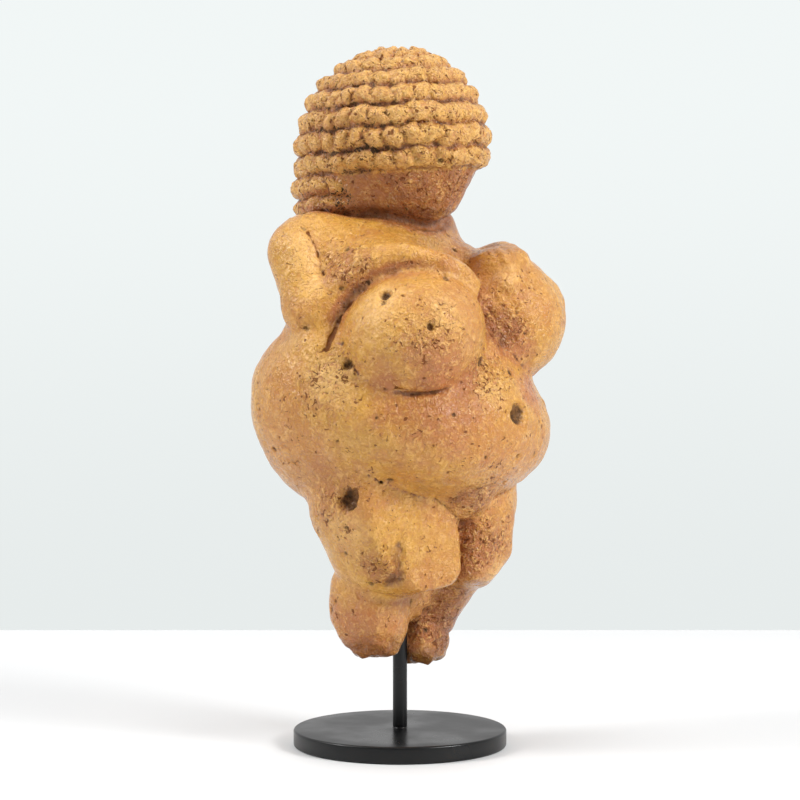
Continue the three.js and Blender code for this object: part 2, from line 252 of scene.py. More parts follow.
def turned(p, at, lean=0.0, splay=0.0):
    """p in the own frame of a form that leans its top forwards and splays its top outwards."""
    x, y, z = p[0] - at[0], p[1] - at[1], p[2] - at[2]
    if lean:
        c, s = math.cos(math.radians(lean)), math.sin(math.radians(lean))
        y, z = c * y + s * z, c * z - s * y
    if splay:
        c, s = math.cos(math.radians(splay)), math.sin(math.radians(splay))
        x, z = c * x - s * z, c * z + s * x
    return x, y, z


def egg(p, at, size, lean=0.0, splay=0.0, boxy=2.0):
    """An egg with half its width, depth and height in size; above 2, boxy squares it up."""
    w = [np.abs(v) / s + 1e-6 for v, s in zip(turned(p, at, lean, splay), size)]
    a = sum(v**boxy for v in w) ** (1 / boxy)
    steep = np.sqrt(sum(((v / a) ** (boxy - 1) / s) ** 2 for v, s in zip(w, size)))
    return (a - 1) / steep


def limb(p, a, b, radius_a, radius_b):
    """A round limb from a to b, with its radius at each end."""
    d = [b[i] - a[i] for i in range(3)]
    along = sum((p[i] - a[i]) * d[i] for i in range(3)) / sum(v * v for v in d)
    t = np.clip(along, 0, 1)
    gap = np.sqrt(sum((p[i] - a[i] - t * d[i]) ** 2 for i in range(3)))
    return gap - (radius_a + (radius_b - radius_a) * t)


def limbs(p, points, radius_a, radius_b):
    """A limb through several points."""
    last = len(points) - 1
    radius = np.linspace(radius_a, radius_b, last + 1)
    nearest = limb(p, points[0], points[1], radius[0], radius[1])
    for i in range(1, last):
        nearest = np.minimum(nearest, limb(p, points[i], points[i + 1], radius[i], radius[i + 1]))
    return nearest


def blend(a, b, fillet):
    """Two forms run together over a fillet."""
    h = np.maximum(fillet - np.abs(a - b), 0) / fillet
    return np.minimum(a, b) - h * h * fillet / 4


def carve(a, b, fillet):
    """Form a with form b cut out of it, the edge eased."""
    return -blend(-a, b, fillet)


def crease(form, a, b, radius):
    """A form with a groove of a radius cut along the line where forms a and b meet; none below -1."""
    return carve(form, np.hypot(a, b) - radius, 1)


def chipped(p, form, facing, out, ease=0.6):
    """A form cut off along a flat, given by the way the flat faces and how far out it lies."""
    return carve(form, out - sum(f * v for f, v in zip(facing, p)), ease)


def arc_points(centre, a, b, count):
    """Points on the great circle from a to b round a centre."""
    centre = Vector(centre)
    start = Vector(a) - centre
    end = Vector(b) - centre
    points = []
    for i in range(count):
        t = i / (count - 1)
        way = start.normalized().slerp(end.normalized(), t)
        points.append(centre + way * (start.length + (end.length - start.length) * t))
    return points


# The head and its cap of curls: rows of knobs, counted down from the crown, to a rolled rim. The rows
# below the rim run round the nape only, and leave the face a bare field.
HEAD_CENTRE = (0.2, 1, 85.6)
HEAD_LEAN = 0.6
HEAD_SPLAY = -5.7
CAP_RADIUS = 14.2
ROW_HEIGHT = 3.53
KNOB_WIDTH = 3.0
KNOB_HEIGHT = 1.5
RIM_ROWS = 8
NAPE_ROWS = 2
NAPE_FROM = 1.45
NAPE_FULL = 1.9


def on_cap(p):
    """How far down the cap a point lies, along its surface from the crown, and its angle round it."""
    x, y, z = turned(p, HEAD_CENTRE, HEAD_LEAN, HEAD_SPLAY)
    down = np.where(z > 0, CAP_RADIUS * np.arctan2(np.hypot(x, y), z), CAP_RADIUS * math.pi / 2 - z)
    return down, np.arctan2(x, -y)


def curls(p):
    """How far the curls stand proud of the head."""
    down, around = on_cap(p)
    down = down + 0.22 * np.sin(9 * around + 1) + 0.12 * np.sin(23 * around)
    row = np.floor(down / ROW_HEIGHT)
    middle = np.minimum((row + 0.5) * ROW_HEIGHT / CAP_RADIUS, math.pi / 2)
    count = np.maximum(np.round(2 * math.pi * CAP_RADIUS * np.sin(middle) / KNOB_WIDTH), 3)
    place = around / (2 * math.pi) * count + 0.5 * (row % 2) + 0.16 * np.sin(1.7 * down + 5 * around)
    knob = np.floor(place)
    v = 2 * (down / ROW_HEIGHT - row) - 1
    u = 2 * (place - knob) - 1
    roll = np.maximum(1 - v * v, 0) ** 0.7
    bead = np.maximum(1 - u * u, 0) ** 0.7
    # Each knob has its own height, and the knobs of the left front have run together.
    mixed = np.sin(row * 12.99 + (knob % count) * 78.23) * 43758.55
    tall = 0.85 + 0.3 * (mixed - np.floor(mixed))
    parted = 0.75 - 0.35 * smooth(-1.1, 0.1, around) * smooth(2.4, 1.2, around)
    high = roll * (1 - parted + parted * bead) * tall
    rim = np.maximum(0.85 * high, roll * 0.42)
    high = np.where(row == RIM_ROWS - 1, rim, high)
    nape = smooth(NAPE_FROM, NAPE_FULL, np.abs(around)) * (row < RIM_ROWS + NAPE_ROWS)
    return KNOB_HEIGHT * np.where(row < RIM_ROWS, high, high * nape)


def head(p):
    skull = egg(p, HEAD_CENTRE, (13.7, 14.6, 12.4), lean=10)
    crown = egg(p, (0.2, -0.8, 88), (8.6, 8.6, 9))
    chin = egg(p, (0.1, -1.6, 77.4), (8.4, 9, 7))
    neck = egg(p, (0.1, 6.6, 77.5), (11.6, 10.9, 13))
    return blend(blend(blend(skull, crown, 4), chin, 3), neck, 4) - curls(p)


# The trunk: chest and shoulders over a wide belly, hips and seat, with a cleft behind. Here and below, m
# is the point p folded over onto the figure's left half, for the forms that come in pairs.
def trunk(m, p):
    chest = egg(m, (0, 2.2, 60.5), (16.6, 11.6, 13.6))
    chest = blend(chest, egg(m, (13.4, 6.2, 65.8), (7, 5.6, 6.2)), 4)
    chest = blend(chest, egg(m, (9.4, -2, 62.8), (8.2, 8.2, 6.2)), 4)
    chest = blend(chest, egg(p, (4.6, 4, 71.2), (10.6, 8.6, 7.2)), 3)
    chest = blend(chest, egg(m, (0, 6.6, 55), (15, 7.6, 15)), 5)
    belly = egg(m, (0, -5.2, 39.2), (21.8, 18.4, 12.2), lean=6, boxy=2.15)
    hips = egg(m, (12.9, 1.6, 43), (12, 15, 12.2), boxy=2.15)
    waist = egg(m, (0, -6.5, 46), (16, 13.6, 12.3))
    seat = egg(m, (9, 5.6, 36.8), (11.8, 11, 11.2))
    low = blend(blend(blend(belly, hips, 5), waist, 4), seat, 5)
    low = carve(low, limb(m, (0, 20, 47.5), (0, 14, 27), 1, 2.4), 4)
    low = blend(low, egg(m, (0, -11.8, 28.4), (5, 5.2, 4.4)), 2)
    return blend(chest, low, 4.5)


# The thighs and knees, what joins them, and the calves, which are broken off below.
def thighs(m, p):
    thigh = egg(m, (9.7, -3, 28), (9.2, 11.2, 11), splay=-5, boxy=2.3)
    shank = egg(m, (8.4, -3.4, 22), (7.4, 8.6, 10), splay=-4, boxy=2.8)
    knee = egg(m, (6.8, -6.9, 20.7), (5.9, 8.2, 8), splay=8, boxy=4)
    leg = chipped(p, blend(blend(thigh, shank, 3), knee, 1.6), (-0.3, -0.95, 0.06), 14.6, 1.2)
    between = egg(m, (0, -1.5, 22.5), (4, 9, 10.5))
    below = egg(m, (0, -1.4, 13.4), (6, 4.8, 6.6))
    leg = chipped(p, leg, (0.48, -0.61, -0.63), 2.6)
    return blend(blend(leg, between, 2), below, 2)


def calves(p):
    right = egg(p, (-7.1, 0.6, 10.2), (6.1, 6.4, 8.7), boxy=2.35)
    right = chipped(p, right, (-0.487, 0.623, -0.61), 4.4)
    right = chipped(p, right, (-0.45, -0.5, -0.74), 3.4)
    left = limb(p, (7.8, -1.4, 13), (6.2, -1, 5), 6.7, 3.7)
    left = blend(left, egg(p, (4.5, -1, 4), (3.6, 3.6, 4), boxy=3.2), 1.5)
    return np.minimum(right, left)


# The breasts, and the thin arms that come down beside them and lie over them, with plain mitten hands.
# Both pairs are tilted, lower on the right, and the left arm is the slighter one.
BUST_TILT = 0.16
ARM_TILT = 0.14
LEFT_ARM_SLIGHTER = 0.8
LEFT_PALM = (8.4, -13.6, 65)
BREAST_CENTRE = (11.4, -11.2, 54)
ELBOW = (19.2, 1.2, 54.6)
WRIST = (10, -15.8, 64.4)
FINGERTIPS = (5, -17.6, 61)
FOREARM_LINE = arc_points(BREAST_CENTRE, ELBOW, WRIST, 9)
HAND_LINE = arc_points(BREAST_CENTRE, WRIST, FINGERTIPS, 4)


def breasts(p):
    return egg(p, BREAST_CENTRE, (11.6, 11.2, 10.5), splay=-4)


def upper_arms(m):
    return limb(m, (17.6, 6, 65), (19.2, 3, 56), 4.3, 3.9)


def forearms(p):
    return blend(limbs(p, FOREARM_LINE, 2.6, 1.7), limbs(p, HAND_LINE, 1.7, 1.7), 0.8)


# The whole figure, whose body is set a little lower on its left. Its forms run into each other over
# fillets, and a crease is left under the belly, round the breasts and under the head.
SAG = 0.03


def figure(p):
    p = (p[0], p[1], p[2] + SAG * p[0] * smooth(90, 70, p[2]))
    m = (np.abs(p[0]), p[1], p[2])
    bust = (m[0], m[1], m[2] - BUST_TILT * p[0])
    arms = (m[0], m[1], m[2] - ARM_TILT * p[0])
    upper = trunk(m, p)
    legs = thighs(m, p)
    breast = breasts(bust)
    forearm = forearms(arms) + LEFT_ARM_SLIGHTER * smooth(0, 5, p[0])
    fold = np.maximum(smooth(0, -8, p[1]), 0.8 * smooth(12, 17, m[0]))
    form = crease(blend(upper, legs, 1.9), upper, legs, -1 + 1.05 * fold)
    form = blend(form, calves(p), 1.2)
    body = form
    form = blend(form, upper_arms(m), 1 + 3.5 * smooth(4, 9, p[1]))
    form = blend(form, egg(p, LEFT_PALM, (4.4, 4.2, 2.6)), 2.5)
    form = blend(form, forearm, 4)
    form = blend(form, breast, 1.6 + 2.8 * smooth(58, 64, p[2]) * smooth(0.5, 4, forearm))
    under = 0.95 + 0.19 * smooth(11, 14.5, m[0]) * smooth(20, 17, m[0])
    form = crease(form, body, breast, -1 + under * smooth(60, 52, p[2]))
    form = crease(form, breast, forearm, -1 + 0.55 * smooth(9, 17, m[0]))
    top = head(p)
    return crease(blend(form, top, 1.2), form, top, -1 + 1.7 * smooth(14, 8, p[1]))


# The mesh: one point in each cell of a grid that the surface passes through, joined across the cell edges
# that it crosses, and each point then settled onto the surface.
GRID_STEP = 0.47
GRID_LOW = np.array((-26.5, -25.5, -1.5))
GRID_HIGH = np.array((26.5, 20.5, 102.0))
CORNERS = [(i, j, k) for i in (0, 1) for j in (0, 1) for k in (0, 1)]


def grid_mesh(form):
    cells = np.ceil((GRID_HIGH - GRID_LOW) / GRID_STEP).astype(int)
    lines = [(GRID_LOW[i] + GRID_STEP * np.arange(cells[i] + 1)).astype(np.float32) for i in range(3)]
    values = form((lines[0][:, None, None], lines[1][None, :, None], lines[2][None, None, :]))
    values = np.ascontiguousarray(np.broadcast_to(values, tuple(cells + 1)))
    inside = values < 0
    corners_inside = np.zeros(tuple(cells), np.int8)
    for i, j, k in CORNERS:
        corners_inside += inside[i : cells[0] + i, j : cells[1] + j, k : cells[2] + k]
    crossed = (corners_inside > 0) & (corners_inside < len(CORNERS))
    place = np.argwhere(crossed)
    number = np.full(crossed.shape, -1)
    number[crossed] = np.arange(len(place))

    # The point in a cell is the mean of the places where the surface crosses the cell's edges.
    total = np.zeros((len(place), 3))
    crossings = np.zeros(len(place))
    for axis in range(3):
        for corner in CORNERS:
            if corner[axis]:
                continue
            near = place + corner
            far = near.copy()
            far[:, axis] += 1
            a = values[tuple(near.T)]
            b = values[tuple(far.T)]
            cut = (a < 0) != (b < 0)
            point = near.astype(float)
            point[:, axis] += np.where(cut, a / np.where(cut, a - b, 1), 0)
            total[cut] += point[cut]
            crossings[cut] += 1
    points = GRID_LOW + GRID_STEP * total / crossings[:, None]

    # Each crossed edge gets one face, which joins the points in the four cells round it.
    faces = []
    for axis in range(3):
        u, w = (axis + 1) % 3, (axis + 2) % 3
        before, after = [slice(1, -1)] * 3, [slice(1, -1)] * 3
        before[axis], after[axis] = slice(0, -1), slice(1, None)
        a, b = inside[tuple(before)], inside[tuple(after)]
        edge = np.argwhere(a != b)
        outwards = b[tuple(edge.T)]
        edge[:, u] += 1
        edge[:, w] += 1
        ring = []
        for du, dw in ((1, 1), (0, 1), (0, 0), (1, 0)):
            cell = edge.copy()
            cell[:, u] -= du
            cell[:, w] -= dw
            ring.append(number[tuple(cell.T)])
        ring = np.stack(ring, 1)
        ring[outwards] = ring[outwards][:, ::-1]
        faces.append(ring)
    return points, np.concatenate(faces)


def slope(form, points, reach=0.05):
    """How the form grows along x, y and z at each point."""
    grown = []
    for axis in range(3):
        step = np.eye(3)[axis] * reach
        grown.append((form((points + step).T) - form((points - step).T)) / (2 * reach))
    return np.stack(grown, 1)


def settled(form, points, rounds=3):
    """The points moved onto the surface of the form."""
    for _ in range(rounds):
        grown = slope(form, points)
        steep = np.maximum((grown * grown).sum(1), 0.3)
        points = points - (0.9 * form(points.T) / steep)[:, None] * grown
    return points


points, faces = grid_mesh(figure)
points = settled(figure, points)
outwards = slope(figure, points)
outwards /= np.linalg.norm(outwards, axis=1)[:, None]

# Wear: hand-carved unevenness, blunt tool marks, rough broken ends, then pits and casting bubbles.
def gap_to(points, place):
    """How far each point is from a place."""
    return np.sqrt(((points - place) ** 2).sum(1))


def rough(points, size, octaves=2, shift=0.0):
    """Noise from about -1 to 1 whose waves are about size long."""
    move = Vector((shift, 2 * shift, -shift))
    return np.array([noise.fractal(Vector(p) / size + move, 1.0, 2.0, octaves) for p in points])


def facets(points, size, shift=0.0):
    """Flat-sided lumps about size across, from 0 to about 1, like broken stone."""
    move = Vector((shift, 2 * shift, -shift))
    return np.array([noise.voronoi(Vector(p) / size + move)[0][0] for p in points])


def gouged(points, across, width, place, reach):
    """Depth of side-by-side gouge strokes, given by the way across them, in a patch round a place."""
    away = gap_to(points, place) / reach + 0.25 * rough(points, 2.5, 1, 7)
    stroke = points @ np.array(across) / width + 0.3 * rough(points, 3, 2, 2)
    return smooth(1, 0.6, away) * np.abs(np.sin(math.pi * stroke))


def patches(points, spots):
    """How far inside a patch each point is; a spot has its centre, its reach and its strength."""
    edge = 0.3 * rough(points, 3.5, 2, 11)
    most = np.zeros(len(points))
    for centre, reach, strength in spots:
        away = gap_to(points, centre) / reach + edge
        most = np.maximum(most, strength * smooth(1.15, 0.2, away))
    return most


# Where the cast skin is rough, as the stone was left by the tool, in front first and then behind.
ROUGH_SKIN = [
    ((-19, -4, 64), 5.5, 1),
    ((-18, -20, 52), 8, 0.75),
    ((-24, -5, 46), 6.5, 1),
    ((-5, -21, 46), 6.5, 1),
    ((2, -18, 55), 6, 1),
    ((-1, -16, 28), 6, 0.9),
    ((4, -14, 20), 6.5, 1),
    ((-15, -8, 17), 4.5, 1),
    ((4, -4, 7), 8, 1),
    ((-18, -1, 26), 6, 0.8),
    ((-3, -10, 77), 12, 0.8),
    ((18, -16, 44), 7, 0.8),
    ((6, 14, 60), 7, 0.9),
    ((-10, 17, 40), 8, 0.9),
    ((15, 13, 34), 7, 0.8),
    ((20, 4, 58), 5, 0.8),
    ((-8, 8, 18), 6, 0.8),
]
x, y, z = points.T
below_rim = on_cap(points.T)[0] - RIM_ROWS * ROW_HEIGHT
knobbed = np.maximum(smooth(0.1, 1.1, curls(points.T)), smooth(0.2, -0.2, below_rim))
groove = knobbed * (1 - smooth(0.1, 0.62, curls(points.T) / KNOB_HEIGHT))
roughened = np.maximum(patches(points, ROUGH_SKIN), 0.6 * knobbed)
broken = np.where(x < 0, smooth(8, 2.5, z), smooth(5, 1.5, z))
relief = 0.28 * rough(points, 10) + 0.16 * rough(points, 3.2, 2, 5) * (1 - 0.5 * knobbed)
relief += (0.07 + 0.15 * roughened) * rough(points, 1.5, 1, 9)
relief += knobbed * (0.45 * (facets(points, 1.3, 3) - 0.42) + 0.12 * rough(points, 0.9, 1, 12))
relief += broken * (1.1 * (facets(points, 2.6) - 0.45) + 0.3 * rough(points, 1.4, 1, 4))

# Gouge strokes between the breasts, over the left hand, on the left calf, between the thighs and over the
# face: how deep, the way across them, how wide each is, and the place and the reach of the patch.
GOUGES = [
    (0.42, (0.46, -0.58, 0.67), 1.7, (2.5, -17, 55), 5.5),
    (0.3, (0.55, -0.7, 0.45), 1.7, (7.5, -16, 65), 4.5),
    (0.35, (0.1, 0.2, 0.97), 1.7, (4, -4, 7), 6),
    (0.3, (0.3, 0.1, 0.95), 1.6, (2, -11, 19), 5),
    (0.35, (0.94, 0.3, 0.15), 1.7, (-2, -12, 78), 8),
]
for deep, across, wide, place, reach in GOUGES:
    relief -= deep * gouged(points, across, wide, place, reach)

# Lines scored in the stone, and how wide each one starts and ends: down inside the right upper arm, under
# the right forearm and under the right breast.
INSIDE_ARM = [
    (-19, 3.3, 68.9),
    (-18.8, 1.6, 65.7),
    (-19.1, 0.3, 62.9),
    (-20.6, -1.6, 60.4),
]
UNDER_FOREARM = [
    (-17.7, -6.9, 59.9),
    (-18.6, -4.9, 57.6),
    (-19.4, -3.5, 55.3),
    (-21.1, -3.3, 52.7),
    (-22.5, -3.5, 50.4),
]
UNDER_BREAST = [
    (-19.6, -14.3, 44.6),
    (-18.3, -15.8, 44.4),
    (-15.3, -18, 44.4),
    (-13.2, -18.9, 44.9),
]
SCORED = [(INSIDE_ARM, 0.9, 0.75), (UNDER_FOREARM, 0.8, 1.05), (UNDER_BREAST, 0.85, 0.7)]
SCORED_DEPTH = 0.35
waver = 0.22 * rough(points, 1.5, 2, 8)
scored = np.zeros(len(points))
for line, start_width, end_width in SCORED:
    scored = np.maximum(scored, 1 - (limbs(points.T, line, start_width - 1, end_width - 1) + waver))
scored = np.clip(scored, 0, 1)
relief -= SCORED_DEPTH * smooth(0.4, 0.9, scored)

# The front of the right knee stands proud of its side, with a ragged step between them.
KNEE_STEP = 0.7
beside = x + 12.2 + 0.5 * rough(points, 2, 2, 6)
sunken = KNEE_STEP * smooth(0.4, -0.2, beside) * smooth(-5, 0, beside)
relief -= sunken * smooth(24, 20, z) * smooth(10, 13, z) * smooth(-5, -8, y)
points = points + outwards * relief[:, None]

# Pits: where each large one is, how wide and how deep, beginning with the navel. Small ones are scattered
# by chance below the hair.
PIT_SEED = 4
SMALL_PITS = 90
SMALL_PIT_WIDTHS = (0.45, 0.8)
SMALL_PIT_DEPTH = 0.55
HAIR_FROM = 74
LARGE_PITS = [
    ((0, -23.5, 40.5), 2.3, 1.4),
    ((-21.3, -12.8, 60.0), 1.2, 1.1),
    ((-18.2, -19.9, 53.5), 0.95, 0.8),
    ((-20.5, -6.5, 47.0), 1.2, 0.7),
    ((-18.6, -4.4, 27.6), 2.3, 1.6),
    ((-14.5, -9.4, 31.6), 0.9, 0.5),
    ((-17.2, -3.4, 23.6), 0.6, 0.4),
    ((16.0, -17.5, 58.0), 0.9, 0.7),
    ((-5.0, -12.5, 79.5), 0.9, 0.8),
    ((9.0, 15.5, 52.0), 1.3, 1.0),
    ((-12.0, 16.0, 40.0), 1.7, 1.2),
    ((21.5, 6.0, 38.0), 1.2, 0.9),
    ((-4.0, 13.5, 64.0), 0.9, 0.7),
]
pits = list(LARGE_PITS)
chance = np.random.default_rng(PIT_SEED)
for _ in range(SMALL_PITS):
    at = points[chance.integers(len(points))]
    wide = chance.uniform(*SMALL_PIT_WIDTHS)
    if at[2] < HAIR_FROM:
        pits.append((tuple(at), wide, SMALL_PIT_DEPTH * wide))
edge_noise = 0.3 * rough(points, 1.2, 2, 3)
pit = np.zeros(len(points))
sunk = np.zeros(len(points))
for at, wide, deep in pits:
    nearest = points[np.argmin(((points - at) ** 2).sum(1))]
    away = gap_to(points, nearest) / wide + edge_noise * (1 + 0.4 * (wide > 1.4))
    bowl = smooth(1.05, 0.35, away)
    pit = np.maximum(pit, bowl)
    sunk = np.maximum(sunk, bowl * deep * (1 + 1.5 * edge_noise))
points = points - outwards * sunk[:, None]

# What the toning depends on, kept at each point of the mesh: how far it lies in a broad hollow or a
# narrow crevice, where shade is painted in, and how far it is rubbed pale or painted with a highlight,
# dirty, washed darker or browned, the washing and browning partly as painted shade.
HOLLOW_REACH = 4.0
CREVICE_REACH = 1.0
PROUD_REACH = 2


def hollow_at(reach):
    """0 where the surface is open over a reach, towards 1 in a hollow."""
    return np.clip(1 - figure((points + outwards * reach).T) / reach, 0, 1)


# Painted shade: the broad hollows, where shade falls, take the darker wash.
hollow_shade = smooth(0.12, 0.75, hollow_at(HOLLOW_REACH))
# Painted shade: the narrow crevices, where shade falls, are darkened with broken dark lines and browning.
crevice_shade = smooth(0.15, 0.8, hollow_at(CREVICE_REACH))
x, y, z = points.T
# Painted highlights and wear: what stands out and the tops of the curls are painted paler.
proud = np.clip(1 + figure((points - outwards * PROUD_REACH).T) / PROUD_REACH, 0, 1)
rubbed_and_highlit = smooth(0.25, 0.7, proud) * 0.6
rubbed_and_highlit = np.maximum(rubbed_and_highlit, 0.6 * knobbed * (1 - groove))

# Painted highlights, laid on as paler toning, with some rubbing by handling: from the right upper arm
# down over the belly to the shins, then on the left arm and on the back.
HIGHLIGHTS_AND_HANDLING = [
    ((-20.4, 3.1, 67.1), 3.2, 0.7),
    ((-20.7, 2, 64), 3.2, 0.7),
    ((-21.3, 0.1, 60.6), 3, 0.65),
    ((-20.6, -12.5, 57.5), 5, 0.6),
    ((-15.5, -21, 55.4), 5, 0.45),
    ((-23.8, -5.2, 45.8), 4.5, 0.75),
    ((-5.4, -21.7, 44), 4, 0.6),
    ((5.8, -14.7, 15.6), 3.5, 0.9),
    ((-18.4, -3.7, 23.6), 5, 0.55),
    ((-12.1, -3.5, 10), 6, 0.4),
    ((18, -6, 52), 5, 0.6),
    ((8, 14, 46), 6, 0.6),
]
rubbed_and_highlit = np.maximum(rubbed_and_highlit, 1.25 * patches(points, HIGHLIGHTS_AND_HANDLING) * (1 - crevice_shade))

# Dirt in the right side of the hair. It is thickest beside the face, towards the back and below the hair,
# and a band of painted shade runs on under the hair's edge.
SOILED = [
    ((-13.4, -2.7, 81.8), 6, 1.1),
    ((-12.5, 6.7, 83.4), 5, 0.8),
    ((-10.8, 4, 73.8), 5.5, 1.4),
]
off_right_side = np.sqrt((x + 12) ** 2 + y**2 + (0.8 * (z - 86)) ** 2)
under_hair_shade = smooth(76, 73.5, z) * smooth(70.8, 72.3, z) * smooth(5, -4, x)
soiled_and_shaded = 0.88 * smooth(14, 6, off_right_side) * smooth(HAIR_FROM, 77, z)
soiled_and_shaded = np.maximum(soiled_and_shaded, patches(points, SOILED))
soiled_and_shaded = np.maximum(soiled_and_shaded, 0.9 * under_hair_shade)
# The bare face under the hair's rim is toned darker red-brown, partly as painted shade.
face = smooth(-0.2, 0.5, below_rim) * smooth(72, 74, z) * (1 - knobbed)
# Painted shade in the neck crease under the chin.
neck = smooth(3.2, 0.8, np.abs(z - 72.6 - 0.1 * y)) * smooth(13, 10, np.hypot(x, y))

# Where the wash was left on, and where it is laid on as painted shade under and between the breasts: over
# the belly, under and between the breasts, round the thighs, on the calves and behind.
WASHED_AND_SHADED = [
    ((-15, -17, 41), 13, 0.7),
    ((-17, -20, 47), 8, 0.7),
    ((-20, -13, 46), 4.5, 1),
    ((-14.5, -18.5, 45.5), 5, 1),
    ((-9, -20, 46.5), 4.5, 0.9),
    ((3, -17, 52), 8, 1),
    ((5, -8, 67), 6, 0.5),
    ((-19, -4, 62), 6, 0.5),
    ((-1, -15, 27), 7, 0.6),
    ((4, -13, 18), 7, 0.7),
    ((-15, -8, 16), 5, 0.6),
    ((5, -3, 8), 9, 1),
    ((-11, -1, 7), 9, 0.85),
    ((-19, -3, 29), 8, 0.4),
    ((6.5, -21, 44.5), 5.5, 0.9),
    ((20, -8, 40), 9, 0.6),
    ((0, 16, 38), 10, 0.8),
    ((-4, 12, 67), 8, 0.6),
    ((9, 6, 16), 8, 0.7),
]

# Where the wash is browned, mostly as painted shade and partly as dirt: inside the left breast, under the
# right one, on and under the belly and between the knees.
SHADED_AND_BROWNED = [
    ((3, -17, 54), 7, 0.5),
    ((-18, -17, 46.5), 6.5, 0.45),
    ((-10, -20, 41), 7, 0.25),
    ((4, -12, 18), 6, 0.3),
    ((-17, -11.5, 32.2), 4, 0.35),
    ((-10.5, -14, 29.5), 4.5, 0.5),
    ((-3, -16, 27), 4.5, 0.5),
]
# The browning also paints shade on the face, in the neck crease, in the grooves of the curls and in the
# crevices; on the left calf and the broken ends it is tone.
left_calf = smooth(2, 4, x) * smooth(15, 8, z)
open_crevice = crevice_shade * (1 - knobbed)
# The wash patches, the darker face and the scored lines; under and between the breasts this is painted
# shade.
flushed_and_shaded = np.maximum.reduce([patches(points, WASHED_AND_SHADED), 0.8 * face, 0.5 * smooth(0.1, 0.7, scored)])
browned_and_shaded = np.maximum.reduce([0.5 * face, 0.7 * neck, 0.6 * left_calf, 0.85 * groove])
browned_and_shaded = np.maximum.reduce([browned_and_shaded, 0.75 * open_crevice, 0.7 * broken, patches(points, SHADED_AND_BROWNED)])

# The toning and the varnish over it.
# The pale rub colour also paints highlights, the wash colour also paints shade in the hollows and under
# the breasts, and the grime colour also paints shade in the creases.
OCHRE = (0.54, 0.226, 0.036, 1)
HONEY = (0.61, 0.3, 0.042, 1)
RUBBED_AND_HIGHLIGHT = (0.84, 0.475, 0.138, 1)
WASH_AND_SHADE = (0.44, 0.148, 0.042, 1)
EARTH = (0.22, 0.075, 0.026, 1)
MARKED = (0.17, 0.05, 0.018, 1)
GRIME_AND_SHADE = (0.066, 0.036, 0.016, 1)
BUBBLE_SPACING = 1.5 * MM
BUBBLE_DEPTH = 0.15
STROKE_DEPTH = 0.1
SHARP_SCORE_DEPTH = 0.25
BEND_SIZE = 0.7 * MM
BEND_REACH = 0.6 * MM
RESIN_IOR = 1.46
COAT_IOR = 1.38
COAT_ROUGHNESS = 0.15
COAT_RELIEF = 0.6 * MM


